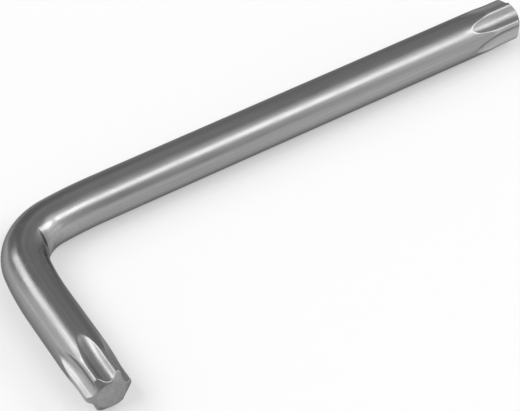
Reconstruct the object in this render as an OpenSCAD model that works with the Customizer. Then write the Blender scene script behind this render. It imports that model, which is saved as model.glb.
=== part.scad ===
// Star key: one round steel bar bent to an L, with a six-lobe star drive formed on each end.
// The key lies flat. +X runs along the long arm, the short arm points to -Y, +Z is up.
// The origin is under the middle of the key, on the surface that it lies on.
// The bar is drawn as seven lengths that meet face to face, as a bent tube is drawn as its runs.

/* [Bar] */
// Diameter of the round bar
bar_d = 6.85; // [6.7:0.05:7.6]
// Length over all along the long arm, from the outer side of the short arm to the end face
long_reach = 90.5; // [60:0.5:160]
// Length over all along the short arm, from the outer side of the long arm to the end face
short_reach = 37.2; // [30:0.1:60]

/* [Bend] */
// Centreline radius of the tight middle of the bend
bend_r = 8.1; // [6:0.1:9]
// Centreline radius of the slack lead on each side of the middle
lead_r = 58; // [40:0.2:70]
// Turn of each lead, in degrees
lead_angle = 7.5; // [3:0.5:8]

/* [Star drive] */
// Size across opposite lobes
star_d = 6.65; // [6.5:0.05:6.7]
// Size across opposite flutes, at their floors
root_d = 4.75; // [4.6:0.05:4.9]
// Radius of a lobe's crown
lobe_r = 0.54; // [0.45:0.01:0.6]
// Length of a flute, from the end face to the point where it runs out
flute_len = 8.8; // [7.5:0.1:10]
// Radius of the floor where a flute rises and runs out
runout_r = 16.5; // [12:0.5:20]
// Turn of the long end's star about its arm, in degrees
long_star_turn = 7.5; // [0:0.5:59.5]
// Turn of the short end's star about its arm, in degrees
short_star_turn = 26.5; // [0:0.5:59.5]

/* [Ends] */
// Diameter of the flat in the middle of an end face
face_d = 4.2; // [3:0.1:4.4]
// Length of the cone from that flat back to the lobes' crowns
cone_len = 0.9; // [0.4:0.05:1.2]
// Plain bar that a star end carries behind its flutes
neck_len = 1.2; // [0.6:0.1:2]

/* [Hidden] */
$fn = 96;

steel = "silver";
lobes = 6;
lobe_pitch = 360 / lobes;
half_pitch = lobe_pitch / 2;
bar_r = bar_d / 2;
root_r = root_d / 2;

// Every cut runs on past what it cuts by this much
overrun = 0.4;
// Slope of the two narrow flats on top of a lobe's crown, in degrees
crown_slope = 12;
// Straight steps along a lobe's side and along a flute's floor
lobe_steps = 6;
floor_steps = 15;
// Turn of the blank that keeps the line where its round side closes clear of every edge of a flute
blank_turn = half_pitch / 3;

// Where the two arms' centrelines cross
corner = [bar_r - long_reach / 2, short_reach / 2 - bar_r, bar_r];
long_len = long_reach - bar_r;
short_len = short_reach - bar_r;

// The bend's arcs share a tangent where they meet, and the middle arc's centre is on the L's diagonal
centre_gap = lead_r - bend_r;
middle_c = lead_r - centre_gap * cos(lead_angle);
bend_start = middle_c + centre_gap * sin(lead_angle);

// The taper stays outside the lobes, so their crowns set the star's size
taper_r = (bar_r + star_d / 2) / 2;
star_end_len = flute_len + neck_len;
long_shank_len = long_len - bend_start - star_end_len;
short_shank_len = short_len - bend_start - star_end_len;

// The floor's circle touches the crowns of the two lobes beside it
lobe_c = star_d / 2 - lobe_r / cos(crown_slope);
lobe_x = lobe_c * cos(half_pitch);
lobe_y = lobe_c * sin(half_pitch);
floor_r = (lobe_c ^ 2 + root_r ^ 2 - 2 * lobe_x * root_r - lobe_r ^ 2) / (2 * (lobe_r + lobe_x - root_r));
floor_x = root_r + floor_r;
touch_angle = atan2(-lobe_y, floor_x - lobe_x);

// The flute's floor is level near the end face, then rises along an arc until it leaves the bar
flute_depth = bar_r - root_r;
runout_angle = acos(1 - flute_depth / runout_r);
cut_angle = acos(1 - (flute_depth + overrun) / runout_r);
level_len = flute_len - runout_r * sin(runout_angle);

function on_circle(centre, r, angle) = centre + r * [cos(angle), sin(angle)];
function flipped(points) = [for (i = [len(points) - 1:-1:0]) [points[i].x, -points[i].y]];

// One side of a flute's section, from outside the bar to where its floor's circle takes over
crown_angle = half_pitch - crown_slope;
crown_end = on_circle([lobe_x, lobe_y], lobe_r, crown_angle);
crown_reach = lobe_r * tan(crown_slope) + overrun;
crown_far = crown_end + crown_reach * [-sin(crown_angle), cos(crown_angle)];
clear_far = crown_far + (bar_r - star_d / 2 + overrun) * [cos(half_pitch), sin(half_pitch)];
lobe_side = [
    for (i = [0:lobe_steps - 1])
        on_circle([lobe_x, lobe_y], lobe_r, crown_angle + (touch_angle - crown_angle) * i / lobe_steps)
];
flute_side = concat([[bar_r + overrun, clear_far.y], clear_far, crown_far], lobe_side);
flute_floor = [
    for (i = [0:floor_steps])
        on_circle([floor_x, 0], floor_r, 180 + touch_angle - 2 * touch_angle * i / floor_steps)
];

// Section of the space between two lobes, on the +X side of the star's axis
module flute_section() {
    polygon(concat(flute_side, flute_floor, flipped(flute_side)));
}

// One flute, cut back from an end face at height zero
module flute() {
    translate([0, 0, -level_len])
        linear_extrude(level_len + overrun)
            flute_section();
    translate([root_r + runout_r, 0, -level_len])
        rotate([-90, 0, 180])
            rotate_extrude(angle = cut_angle)
                translate([root_r + runout_r, 0])
                    mirror([1, 0])
                        flute_section();
}

// The end of the bar before its flutes are cut: it tapers a little along them, then cones to the end face
module blank() {
    rotate([0, 0, blank_turn])
        rotate_extrude()
            polygon([
                [0, -star_end_len],
                [bar_r, -star_end_len],
                [bar_r, -flute_len],
                [taper_r, -cone_len],
                [face_d / 2, 0],
                [0, 0]
            ]);
}

// The blank with so many of its flutes cut, one after another
module fluted(count) {
    difference() {
        if (count > 1) fluted(count - 1);
        else blank();
        rotate([0, 0, count * lobe_pitch])
            flute();
    }
}

// A star end that points to +Z, with its end face at height zero
module star_end(turn) {
    rotate([0, 0, turn])
        fluted(lobes);
}

// Part of the turn: an arc of bar about a centre, from one angle on by another
module bar_arc(centre, r, from, turn) {
    translate(centre)
        rotate([0, 0, from])
            rotate_extrude(angle = turn)
                translate([r, 0])
                    circle(d = bar_d);
}

// Turns what points to +Z along the long arm, with the star's turn counted from the side of the short arm
module along_long_arm(distance) {
    translate(corner + [distance, 0, 0])
        rotate([90, 0, 90])
            rotate([0, 0, 180])
                children();
}

// Turns what points to +Z along the short arm, with the star's turn counted from the side of the long arm
module along_short_arm(distance) {
    translate(corner - [0, distance, 0])
        rotate([90, 0, 0])
            children();
}

module long_star_end() {
    color(steel)
        along_long_arm(long_len)
            star_end(long_star_turn);
}

module long_shank() {
    color(steel)
        along_long_arm(bend_start)
            cylinder(d = bar_d, h = long_shank_len);
}

module long_lead() {
    color(steel)
        translate(corner)
            bar_arc([bend_start, -lead_r], lead_r, 90, lead_angle);
}

module bend() {
    color(steel)
        translate(corner)
            bar_arc([middle_c, -middle_c], bend_r, 90 + lead_angle, 90 - 2 * lead_angle);
}

module short_lead() {
    color(steel)
        translate(corner)
            bar_arc([lead_r, -bend_start], lead_r, 180 - lead_angle, lead_angle);
}

module short_shank() {
    color(steel)
        along_short_arm(bend_start)
            cylinder(d = bar_d, h = short_shank_len);
}

module short_star_end() {
    color(steel)
        along_short_arm(short_len)
            star_end(short_star_turn);
}

long_star_end();
long_shank();
long_lead();
bend();
short_lead();
short_shank();
short_star_end();
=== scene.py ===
import math
from collections import namedtuple

import bpy
import numpy as np
from mathutils import Matrix, Vector


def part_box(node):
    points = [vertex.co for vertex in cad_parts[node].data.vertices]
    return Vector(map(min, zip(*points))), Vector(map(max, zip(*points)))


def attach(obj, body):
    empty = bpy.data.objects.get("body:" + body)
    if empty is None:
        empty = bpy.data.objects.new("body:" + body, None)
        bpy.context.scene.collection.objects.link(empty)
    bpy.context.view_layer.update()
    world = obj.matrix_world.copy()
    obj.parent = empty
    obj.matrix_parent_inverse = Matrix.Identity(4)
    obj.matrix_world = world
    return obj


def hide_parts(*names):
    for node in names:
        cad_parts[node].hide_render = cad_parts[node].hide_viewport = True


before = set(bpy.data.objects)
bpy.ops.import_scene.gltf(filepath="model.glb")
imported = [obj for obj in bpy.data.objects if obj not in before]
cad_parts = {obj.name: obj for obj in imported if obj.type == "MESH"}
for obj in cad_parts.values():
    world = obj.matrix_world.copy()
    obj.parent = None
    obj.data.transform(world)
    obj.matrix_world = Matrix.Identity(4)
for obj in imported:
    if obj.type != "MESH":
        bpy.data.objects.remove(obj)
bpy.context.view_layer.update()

MM = 0.001
MICRON = MM / 1000

# The bend: a tight middle between two slack leads
BEND_R = 8.1 * MM
LEAD_R = 58.0 * MM
LEAD_ANGLE = math.radians(7.5)
BEND_ANGLE = math.pi / 2 - 2 * LEAD_ANGLE
# How much thinner the bar gets there, across the bend
BEND_THIN_SHARE = 0.015

# The crease on the inner side, where the bar folded: straight sides down to a valley, between two low swells
CREASE_RISE = 0.02 * MM
# Reach of a straight side from the valley, rounding of the valley's floor, and reach of the rougher steel
# with painted shade
CREASE_WIDTH = 1.9 * MM
CREASE_FLOOR_R = 0.08 * MM
CREASE_DULL_AND_SHADE_WIDTH = 1.2 * MM
# Angle round the bar at which a straight valley would cross the bend's middle, and its lean per radian
CREASE_ANGLE = math.radians(30)
CREASE_LEAN = 1.9 * MM
# How far the valley bows towards the long arm on the inner side, and how far and how often it wavers
CREASE_BOW = 0.4 * MM
CREASE_WAVER = 0.07 * MM
CREASE_WAVES = 9
# Angles round the bar between which the crease comes in, and between which it fades out
CREASE_FADE = np.radians([-85, -55, 30, 72])

# The star on each end
LOBES = 6
STAR_R = 3.325 * MM
ROOT_R = 2.375 * MM
LOBE_R = 0.54 * MM
FLUTE_LEN = 8.8 * MM
RUNOUT_R = 16.5 * MM
# Angle round the bar, from the inner side of the bend, at which each star has the middle of a flute
LONG_STAR_TURN = math.radians(-7.5)
SHORT_STAR_TURN = math.radians(26.5)
FACE_R = 2.1 * MM
CONE_LEN = 0.9 * MM
# Depth over which the edges of the flutes are rounded, and radius of the fillet round an end face
EDGE_SOFTNESS = 0.1 * MM
FACE_FILLET = 0.1 * MM
# How much rougher the end faces and cones are and how much painted shade darkens them, against 1 at the
# crease
FACE_DULL_AND_SHADE = 0.4
CONE_DULL_AND_SHADE = 0.5

# Density of the mesh: points round the bar, and the spacing of its rings
ROUND_POINTS = 256
CONE_STEP = 0.06 * MM
FLUTE_STEP = 0.1 * MM
LONG_SHANK_STEP = 2.0 * MM
SHORT_SHANK_STEP = 1.0 * MM
LEAD_STEP = 0.6 * MM
BEND_STEP = 0.3 * MM
CREASE_STEP = 0.08 * MM
# The crease's close rings start this far before the middle of the bend and end this far after it
CREASE_BEFORE = 1.9 * MM
CREASE_AFTER = 4.0 * MM
# Rings of an end face, as shares of the radius of its flat, and rings of the fillet round it
FACE_RING_SHARES = (0.25, 0.5, 0.75, 0.92, 0.99)
FILLET_RINGS = 5
# Points on each curve of a flute's section, and how far the section runs on past the top of a lobe
CURVE_POINTS = 60
LOBE_OVERRUN = math.radians(45)
# Points of the fine path from which the centreline is read
PATH_POINTS = 20001

# The bar's own places, from the frame
shank_low, shank_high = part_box("long_shank")
BAR_R = (shank_high.z - shank_low.z) / 2
LONG_END_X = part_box("long_star_end")[1].x
SHORT_END_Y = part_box("short_star_end")[0].y
LONG_AXIS_Y = (shank_low.y + shank_high.y) / 2
LONG_STRAIGHT = LONG_END_X - shank_low.x
SHORT_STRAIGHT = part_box("short_shank")[1].y - SHORT_END_Y
LEAD_LEN = LEAD_R * LEAD_ANGLE
BEND_LEN = BEND_R * BEND_ANGLE
# Radius of the blank, before its flutes are cut, at the foot of the end cone
TAPER_R = (BAR_R + STAR_R) / 2

# Knots of the centreline, from the long end face to the short one, and its heading at each
KNOTS = np.cumsum([0, LONG_STRAIGHT, LEAD_LEN, BEND_LEN, LEAD_LEN, SHORT_STRAIGHT])
HEADINGS = np.cumsum([math.pi, 0, LEAD_ANGLE, BEND_ANGLE, LEAD_ANGLE, 0])
LONG_LEAD_START, BEND_START, BEND_END, SHORT_LEAD_END, BAR_LEN = KNOTS[1:]
MID_BEND = (BEND_START + BEND_END) / 2

# One ring of the bar: its distance from the long end face, or from its own face while an end is made, then
# the radius and the masks for worn edges, flutes (which also carry a painted sheen) and rougher steel with
# painted shade, at each angle round it
Ring = namedtuple("Ring", "distance radii edge flute dull")
# Angles round the bar, from the inner side of the bend
ANGLES = np.arange(ROUND_POINTS) * 2 * math.pi / ROUND_POINTS
ZEROS = np.zeros(ROUND_POINTS)


def centreline(distance):
    """Points and headings of the bar's centreline at these distances from the long end face."""
    fine = np.linspace(0, BAR_LEN, PATH_POINTS)
    middle = (fine[1:] + fine[:-1]) / 2
    heading = np.interp(middle, KNOTS, HEADINGS)
    step = np.diff(fine)
    x = LONG_END_X + np.concatenate([[0], np.cumsum(np.cos(heading) * step)])
    y = LONG_AXIS_Y + np.concatenate([[0], np.cumsum(np.sin(heading) * step)])
    points = np.stack([np.interp(distance, fine, x), np.interp(distance, fine, y)], axis=1)
    return points, np.interp(distance, KNOTS, HEADINGS)


def bent_share(distance):
    """How much these distances belong to the bend: 0 on the arms, 1 in its tight middle."""
    return np.interp(distance, [LONG_LEAD_START, BEND_START, BEND_END, SHORT_LEAD_END], [0, 1, 1, 0])


def spaced(start, end, step):
    """Evenly spaced distances from start up to, but not at, end."""
    return np.linspace(start, end, max(2, round((end - start) / step) + 1))[:-1]


def flute_outline():
    """Half of a flute's section: x and y from the middle of its floor to the top of a lobe and past it."""
    half_pitch = math.pi / LOBES
    lobe_c = STAR_R - LOBE_R
    lobe_x, lobe_y = lobe_c * math.cos(half_pitch), lobe_c * math.sin(half_pitch)
    # The floor's arc touches the circle of the lobe beside it
    floor_r = (lobe_c**2 + ROOT_R**2 - 2 * lobe_x * ROOT_R - LOBE_R**2) / (2 * (LOBE_R + lobe_x - ROOT_R))
    floor_x = ROOT_R + floor_r
    touch = math.atan2(lobe_y, lobe_x - floor_x)
    on_floor = np.linspace(math.pi, touch, CURVE_POINTS)
    on_lobe = np.linspace(touch - math.pi, half_pitch + LOBE_OVERRUN, CURVE_POINTS)
    x = np.concatenate([floor_x + floor_r * np.cos(on_floor), lobe_x + LOBE_R * np.cos(on_lobe)])
    y = np.concatenate([floor_r * np.sin(on_floor), lobe_y + LOBE_R * np.sin(on_lobe)])
    return x, y


# A flute runs level over LEVEL_LEN from the end face, then swings out about an axis at SWING_X
FLUTE_X, FLUTE_Y = flute_outline()
SWING_X = ROOT_R + RUNOUT_R
LEVEL_LEN = FLUTE_LEN - math.sqrt(RUNOUT_R**2 - (SWING_X - BAR_R) ** 2)


def flute_radius(back, around):
    """Radius of the star, this far back from its face, at these angles from the middle of a flute."""
    swung = max(back - LEVEL_LEN, 0)
    x = SWING_X - np.sqrt((SWING_X - FLUTE_X) ** 2 - swung**2)
    return np.interp(around, np.arctan2(FLUTE_Y, x), np.hypot(x, FLUTE_Y))


def soft_min(a, b):
    """The smaller of two radii, with the edge between them rounded, and how much of an edge is there."""
    edge = np.clip(1 - np.abs(a - b) / EDGE_SOFTNESS, 0, 1)
    return np.minimum(a, b) - edge**2 * EDGE_SOFTNESS / 4, edge


def star_ring(back, turn):
    """One ring of a star end, at a distance back from its face."""
    pitch = 2 * math.pi / LOBES
    around = np.abs((ANGLES - turn + pitch / 2) % pitch - pitch / 2)
    blank = np.interp(back, [0, CONE_LEN, FLUTE_LEN], [FACE_R, TAPER_R, BAR_R])
    fluted = flute_radius(back, around)
    radii, edge = soft_min(fluted, blank)
    flute = np.clip((blank - fluted) / EDGE_SOFTNESS, 0, 1)
    # Painted shade: the cone is darkened as well as made rougher
    dull = (1 - flute) * CONE_DULL_AND_SHADE if back < CONE_LEN else ZEROS
    return Ring(back, radii, edge, flute, dull)


def face_rings():
    """Rings of an end face, from near its middle to the start of the cone."""
    slope = math.atan2(TAPER_R - FACE_R, CONE_LEN)
    reach = FACE_FILLET * math.tan((math.pi / 2 - slope) / 2)
    sizes = [(0, share * (FACE_R - reach)) for share in FACE_RING_SHARES]
    for angle in np.linspace(0, math.pi / 2 - slope, FILLET_RINGS):
        back = FACE_FILLET * (1 - math.cos(angle))
        sizes.append((back, FACE_R - reach + FACE_FILLET * math.sin(angle)))
    # Painted shade: the end face is darkened as well as made rougher
    return [Ring(back, ZEROS + radius, ZEROS, ZEROS, ZEROS + FACE_DULL_AND_SHADE) for back, radius in sizes]


def end_rings(turn):
    """Rings of one end of the bar, from its face to the end of its flutes."""
    rings = face_rings()
    cone_start = rings[-1].distance + CONE_STEP / 2
    cone_end = CONE_LEN + CONE_STEP
    backs = [*spaced(cone_start, cone_end, CONE_STEP), *spaced(cone_end, FLUTE_LEN, FLUTE_STEP)]
    return rings + [star_ring(back, turn) for back in backs]


def crease(distance):
    """Rise of the surface at the crease, below zero in its valley, and how rough and how darkened by painted
    shade it is there.
    """
    around = (ANGLES + math.pi) % (2 * math.pi) - math.pi
    valley = MID_BEND + CREASE_LEAN * (CREASE_ANGLE - around) - CREASE_BOW * np.cos(2 * around)
    valley += CREASE_WAVER * np.sin(CREASE_WAVES * around)
    away = np.hypot(distance - valley, CREASE_FLOOR_R)
    share = np.interp(around, CREASE_FADE, [0, 1, 1, 0])
    reach = CREASE_WIDTH * share**2 * (3 - 2 * share)
    # The straight sides leave the bend's curve at their reach and run into the bar as far as the valley
    fold = np.clip(reach - away, 0, None) ** 2 / (2 * (BEND_R - BAR_R * np.cos(around)))
    swell = CREASE_RISE * away / CREASE_WIDTH * np.exp(1 - away / CREASE_WIDTH)
    # Rougher steel and painted shade along the valley, darkening the crease and dimming its highlight
    dull = reach / CREASE_WIDTH * np.exp(-((away / CREASE_DULL_AND_SHADE_WIDTH) ** 2))
    return swell * reach / CREASE_WIDTH - fold, dull


def middle_rings():
    """Rings of the round bar between its two stars."""
    crease_start = MID_BEND - CREASE_BEFORE
    crease_end = MID_BEND + CREASE_AFTER
    short_flutes = BAR_LEN - FLUTE_LEN
    stretches = [
        spaced(FLUTE_LEN, LONG_LEAD_START, LONG_SHANK_STEP),
        spaced(LONG_LEAD_START, BEND_START, LEAD_STEP),
        spaced(BEND_START, crease_start, BEND_STEP),
        spaced(crease_start, crease_end, CREASE_STEP),
        spaced(crease_end, BEND_END, BEND_STEP),
        spaced(BEND_END, SHORT_LEAD_END, LEAD_STEP),
        spaced(SHORT_LEAD_END, short_flutes, SHORT_SHANK_STEP),
        [short_flutes],
    ]
    rings = []
    for distance in np.concatenate(stretches):
        thinned = BAR_R * (1 - BEND_THIN_SHARE / 2 * bent_share(distance) * np.cos(ANGLES) ** 2)
        rise, dull = crease(distance)
        rings.append(Ring(distance, thinned + rise, ZEROS, ZEROS, dull))
    return rings


def bar_rings():
    """All rings of the bar, from the long end face to the short one."""
    short_end = [ring._replace(distance=BAR_LEN - ring.distance) for ring in end_rings(SHORT_STAR_TURN)]
    return end_rings(LONG_STAR_TURN) + middle_rings() + short_end[::-1]


def bar_faces(count):
    """Faces between this many rings, and fans from the outermost two to the middles of the end faces."""
    here = np.arange(ROUND_POINTS)
    beside = np.roll(here, -1)
    faces = []
    for ring in range(count - 1):
        start = ring * ROUND_POINTS
        after = start + ROUND_POINTS
        faces += np.stack([start + here, start + beside, after + beside, after + here], axis=1).tolist()
    first_middle = count * ROUND_POINTS
    last_middle = first_middle + 1
    last_ring = first_middle - ROUND_POINTS
    for middle, one, other in (
        (first_middle, beside, here),
        (last_middle, last_ring + here, last_ring + beside),
    ):
        faces += np.stack([np.full(ROUND_POINTS, middle), one, other], axis=1).tolist()
    return faces


def bar_mesh():
    """One closed mesh of the whole bar: its rings in turn, then the middles of its two end faces."""
    rings = bar_rings()
    distance = np.array([ring.distance for ring in rings])
    radii = np.stack([ring.radii for ring in rings])
    side = radii * np.cos(ANGLES)
    up = radii * np.sin(ANGLES)
    points, headings = centreline(distance)
    inward = np.stack([-np.sin(headings), np.cos(headings)], axis=1)
    xy = points[:, None, :] + side[:, :, None] * inward[:, None, :]
    places = np.concatenate([xy, (BAR_R + up)[:, :, None]], axis=2).reshape(-1, 3)
    unbent = np.stack([np.broadcast_to(distance[:, None], side.shape), side, up], axis=2).reshape(-1, 3)
    middles, _ = centreline(np.array([0, BAR_LEN]))
    places = np.concatenate([places, [(x, y, BAR_R) for x, y in middles]])
    unbent = np.concatenate([unbent, [(0, 0, 0), (BAR_LEN, 0, 0)]])

    mesh = bpy.data.meshes.new("star_key_bar")
    mesh.from_pydata(places.tolist(), [], bar_faces(len(rings)))
    mesh.polygons.foreach_set("use_smooth", np.ones(len(mesh.polygons), dtype=bool))
    attribute = mesh.attributes.new("unbent", "FLOAT_VECTOR", "POINT")
    attribute.data.foreach_set("vector", np.ascontiguousarray(unbent, dtype=np.float32).ravel())
    for name, on_rings, on_middles in (
        ("edge", [ring.edge for ring in rings], 0),
        ("flute", [ring.flute for ring in rings], 0),
        ("dull", [ring.dull for ring in rings], FACE_DULL_AND_SHADE),
        ("bent", [ZEROS + bent_share(ring.distance) for ring in rings], 0),
    ):
        values = np.concatenate(on_rings + [[on_middles, on_middles]])
        attribute = mesh.attributes.new(name, "FLOAT", "POINT")
        attribute.data.foreach_set("value", values.astype(np.float32))
    mesh.update()
    return mesh


class Nodes:
    """Adds nodes to a tree and links them."""

    def __init__(self, tree):
        self.tree = tree
        tree.nodes.clear()

    def add(self, kind, inputs=None, **settings):
        """A new node, whose inputs are linked to sockets or set to values."""
        node = self.tree.nodes.new(kind)
        for name, value in settings.items():
            setattr(node, name, value)
        for name, value in (inputs or {}).items():
            if isinstance(value, bpy.types.NodeSocket):
                self.tree.links.new(value, node.inputs[name])
            else:
                node.inputs[name].default_value = value
        return node

    def maths(self, operation, first, second):
        """The result of an operation on two numbers."""
        return self.add("ShaderNodeMath", {0: first, 1: second}, operation=operation).outputs["Value"]


STEEL_COLOUR = (0.335, 0.335, 0.337, 1)
WORN_COLOUR = (0.46, 0.46, 0.462, 1)
# How much of the worn colour the sharpest edges have
WORN_SHARE = 0.7
# Share of the reflection that is left at a glancing angle
EDGE_TINT = (0.38, 0.38, 0.38, 1)
# Roughness of plain steel, how far its patches depart from it, what flutes and the rougher end faces, cones
# and crease add to it, and what the bend's polish takes off
STEEL_ROUGHNESS = 0.31
PATCH_ROUGHNESS = 0.03
FLUTE_ROUGHNESS = 0.09
DULL_ROUGHNESS = 0.1
BEND_POLISH = 0.06
# Brightness against plain steel: painted sheen in the flutes, painted shade on end faces, cones and crease,
# and peel;
# then how far the lines and marks depart from it
FLUTE_PAINTED_SHEEN = 1.2
PAINTED_SHADE_BRIGHTNESS = 0.74
PEEL_BRIGHTNESS = 1.08
LINES_CONTRAST = 0.09
MARKS_CONTRAST = 0.07
# Noise scales, per metre: along the bar, then across it, or the same all ways
FINE_LINES = (40, 2600, 2600)
DRAW_MARKS = (14, 800, 800)
GRAIN = 9000.0
PATCHES = 350.0
BEND_PEEL = 750.0
# Noise details, the roughness of all noises, and the part of their range that is used
LINES_DETAIL = 4.0
PATCHES_DETAIL = 3.0
PLAIN_DETAIL = 2.0
NOISE_ROUGHNESS = 0.55
NOISE_LOW, NOISE_HIGH = 0.3, 0.7
# Depths of the relief
LINES_DEPTH = 2.5 * MICRON
MARKS_DEPTH = 8.0 * MICRON
PEEL_DEPTH = 2.5 * MICRON
GRAIN_DEPTH = 1.5 * MICRON


def steel_material():
    """Drawn and tumbled steel, with lines along the bar, a grain, a peel in the bend, worn edges, painted
    sheen in the flutes and painted shade on end faces, cones and crease.
    """
    material = bpy.data.materials.new("satin_steel")
    material.use_nodes = True
    n = Nodes(material.node_tree)

    def mask(name):
        return n.add("ShaderNodeAttribute", attribute_name=name).outputs["Fac"]

    def along(scale):
        return n.add("ShaderNodeMapping", {"Vector": unbent, "Scale": scale}).outputs["Vector"]

    def noise(vector, scale, detail):
        inputs = {"Vector": vector, "Scale": scale, "Detail": detail, "Roughness": NOISE_ROUGHNESS}
        return n.add("ShaderNodeTexNoise", inputs).outputs["Fac"]

    def ranged(value, start, end, low, high):
        inputs = {"Value": value, "From Min": start, "From Max": end, "To Min": low, "To Max": high}
        return n.add("ShaderNodeMapRange", inputs).outputs["Result"]

    def by_noise(value, low, high):
        return ranged(value, NOISE_LOW, NOISE_HIGH, low, high)

    def by_mask(value, without, within):
        return ranged(value, 0.0, 1.0, without, within)

    def bumped(height, depth, normal=None):
        inputs = {"Strength": 1.0, "Distance": depth, "Height": height}
        if normal:
            inputs["Normal"] = normal
        return n.add("ShaderNodeBump", inputs).outputs["Normal"]

    unbent = n.add("ShaderNodeAttribute", attribute_name="unbent").outputs["Vector"]
    edge, flute, dull, bent = mask("edge"), mask("flute"), mask("dull"), mask("bent")
    lines = noise(along(FINE_LINES), 1.0, LINES_DETAIL)
    marks = noise(along(DRAW_MARKS), 1.0, PLAIN_DETAIL)
    grain = noise(unbent, GRAIN, PLAIN_DETAIL)
    patches = noise(unbent, PATCHES, PATCHES_DETAIL)
    peel = n.maths("MULTIPLY", by_noise(noise(unbent, BEND_PEEL, PLAIN_DETAIL), 0.0, 1.0), bent)

    tone = by_noise(lines, 1 - LINES_CONTRAST, 1 + LINES_CONTRAST)
    tone = n.maths("MULTIPLY", tone, by_noise(marks, 1 - MARKS_CONTRAST, 1 + MARKS_CONTRAST))
    tone = n.maths("MULTIPLY", tone, by_mask(peel, 1.0, PEEL_BRIGHTNESS))
    # Painted sheen: the flutes' colour is raised so that their reflections come out brighter
    tone = n.maths("MULTIPLY", tone, by_mask(flute, 1.0, FLUTE_PAINTED_SHEEN))
    # Painted shade: the end faces, cones and crease are darkened, which dims their reflections
    tone = n.maths("MULTIPLY", tone, by_mask(dull, 1.0, PAINTED_SHADE_BRIGHTNESS))
    toned = {"Factor": 1.0, "A": STEEL_COLOUR, "B": tone}
    steel = n.add("ShaderNodeMix", toned, data_type="RGBA", blend_type="MULTIPLY").outputs["Result"]
    worn = {"Factor": by_mask(edge, 0.0, WORN_SHARE), "A": steel, "B": WORN_COLOUR}
    colour = n.add("ShaderNodeMix", worn, data_type="RGBA").outputs["Result"]

    rough = by_noise(patches, STEEL_ROUGHNESS - PATCH_ROUGHNESS, STEEL_ROUGHNESS + PATCH_ROUGHNESS)
    rough = n.maths("ADD", rough, by_mask(flute, 0.0, FLUTE_ROUGHNESS))
    rough = n.maths("SUBTRACT", rough, by_mask(bent, 0.0, BEND_POLISH))
    rough = n.maths("ADD", rough, by_mask(dull, 0.0, DULL_ROUGHNESS))

    normal = bumped(lines, LINES_DEPTH)
    normal = bumped(marks, MARKS_DEPTH, normal)
    normal = bumped(peel, PEEL_DEPTH, normal)
    normal = bumped(grain, GRAIN_DEPTH, normal)
    shader = n.add(
        "ShaderNodeBsdfPrincipled",
        {
            "Base Color": colour,
            "Metallic": 1.0,
            "Roughness": rough,
            "Specular Tint": EDGE_TINT,
            "Normal": normal,
        },
    )
    n.add("ShaderNodeOutputMaterial", {"Surface": shader.outputs["BSDF"]})
    return material


def add_object(name, data):
    """A new object in the scene that shows this data."""
    made = bpy.data.objects.new(name, data)
    bpy.context.scene.collection.objects.link(made)
    return made


bar = add_object("star_key_bar", bar_mesh())
bar.data.materials.append(steel_material())
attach(bar, "root")
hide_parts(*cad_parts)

# The floor that the key lies on
FLOOR_SIZE = 6.0
FLOOR_COLOUR = (0.96, 0.96, 0.96, 1)
# Share of the floor's look that is a plain white backdrop, which lightens the key's shadow
BACKDROP_SHARE = 0.3


def floor_material():
    """A pale matt floor that cameras and mirrors see mixed with a plain white backdrop."""
    material = bpy.data.materials.new("pale_floor")
    material.use_nodes = True
    n = Nodes(material.node_tree)
    path = n.add("ShaderNodeLightPath").outputs
    seen = n.maths("ADD", path["Is Camera Ray"], path["Is Glossy Ray"])
    seen = n.maths("ADD", seen, path["Is Transmission Ray"])
    share = n.maths("MULTIPLY", seen, BACKDROP_SHARE)
    lit = n.add("ShaderNodeBsdfDiffuse", {"Color": FLOOR_COLOUR}).outputs["BSDF"]
    white = n.add("ShaderNodeEmission", {"Strength": 1.0}).outputs["Emission"]
    shader = n.add("ShaderNodeMixShader", {0: share, 1: lit, 2: white})
    n.add("ShaderNodeOutputMaterial", {"Surface": shader.outputs["Shader"]})
    return material


def floor_mesh():
    """A square on the ground, round the origin."""
    mesh = bpy.data.meshes.new("floor")
    half = FLOOR_SIZE / 2
    corners = [(-half, -half, 0), (half, -half, 0), (half, half, 0), (-half, half, 0)]
    mesh.from_pydata(corners, [], [(0, 1, 2, 3)])
    return mesh


floor = add_object("floor", floor_mesh())
floor.data.materials.append(floor_material())


def softbox(name, direction, along, distance, size, energy):
    """An area lamp that faces the origin from a direction, with its first side along an axis."""
    lamp = bpy.data.lights.new(name, "AREA")
    lamp.shape = "RECTANGLE"
    lamp.size, lamp.size_y = size
    lamp.energy = energy
    z = Vector(direction).normalized()
    x = Vector(along)
    x = (x - x.dot(z) * z).normalized()
    y = z.cross(x)
    turn = Matrix((x, y, z)).transposed().to_4x4()
    box = add_object(name, lamp)
    box.matrix_world = Matrix.Translation(z * distance) @ turn


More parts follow.
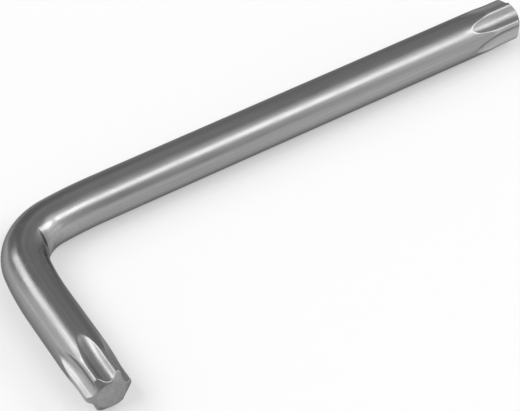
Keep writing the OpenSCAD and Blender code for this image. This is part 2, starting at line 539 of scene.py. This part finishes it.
# Each lamp's direction from the origin, axis of its first side, distance and sides in metres, and watts
softbox("long_arm_box", (0.25, -0.622, 0.742), (1, 0, 0), 0.97, (0.5, 0.31), 1.62)
softbox("bend_box", (0.756, -0.224, 0.616), (0.284, 0.959, 0), 1.0, (0.53, 0.3), 1.52)
softbox("far_halo", (0.575, -0.378, 0.726), (0.6, 0.8, 0), 1.1, (0.5, 0.8), 1.08)
softbox("right_fill", (0.81, -0.526, 0.26), (0.545, 0.839, 0), 1.15, (1.45, 0.6), 2.15)
softbox("short_arm_box", (-0.395, 0.52, 0.66), (-0.045, 1, 0), 0.92, (0.535, 0.33), 1.48)
softbox("back_left_panel", (-0.6, 0.8, 0.085), (0.8, 0.6, 0), 1.1, (0.7, 0.17), 0.24)
softbox("left_panel", (-0.807, 0.475, 0.36), (0.507, 0.862, 0), 1.1, (0.5, 0.66), 0.88)
softbox("top_box", (-0.55, 0.12, 0.83), (0, 1, 0), 1.2, (0.6, 0.8), 4.0)

# The studio's walls, which are darkest in one direction, behind the key
WALL_LIGHT = 0.378
WALL_DARK = 0.22
DARKEST_WAY = (-0.03, 0.866, 0.5)
# Cosines of the angles from that direction at which the dark patch starts and is full
DARK_FROM, DARK_TO = 0.915, 0.985


def studio_world():
    """Plain grey walls with a soft dark patch."""
    world = bpy.data.worlds.new("studio")
    world.use_nodes = True
    n = Nodes(world.node_tree)
    way = n.add("ShaderNodeTexCoord").outputs["Generated"]
    towards = n.add("ShaderNodeVectorMath", {0: way, 1: DARKEST_WAY}, operation="DOT_PRODUCT")
    level = n.add(
        "ShaderNodeMapRange",
        {
            "Value": towards.outputs["Value"],
            "From Min": DARK_FROM,
            "From Max": DARK_TO,
            "To Min": WALL_LIGHT,
            "To Max": WALL_DARK,
        },
        interpolation_type="SMOOTHSTEP",
    ).outputs["Result"]
    background = n.add("ShaderNodeBackground", {"Color": (1, 1, 1, 1), "Strength": level})
    n.add("ShaderNodeOutputWorld", {"Surface": background.outputs["Background"]})
    return world


bpy.context.scene.world = studio_world()

# The photograph's viewpoint
CAMERA_AT = Vector((-94.347, -170.981, 187.166)) * MM
CAMERA_AZIMUTH = math.radians(-26.592)
CAMERA_ELEVATION = math.radians(43.712)
CAMERA_ROLL = math.radians(-5.402)
CAMERA_LENS = 130.798
CAMERA_NEAR = 10 * MM
camera = add_object("camera", bpy.data.cameras.new("camera"))
camera.data.lens = CAMERA_LENS
camera.data.clip_start = CAMERA_NEAR
camera.matrix_world = (
    Matrix.Translation(CAMERA_AT)
    @ Matrix.Rotation(CAMERA_AZIMUTH, 4, "Z")
    @ Matrix.Rotation(math.pi / 2 - CAMERA_ELEVATION, 4, "X")
    @ Matrix.Rotation(CAMERA_ROLL, 4, "Z")
)
bpy.context.scene.camera = camera
bpy.context.scene.view_settings.view_transform = "Standard"
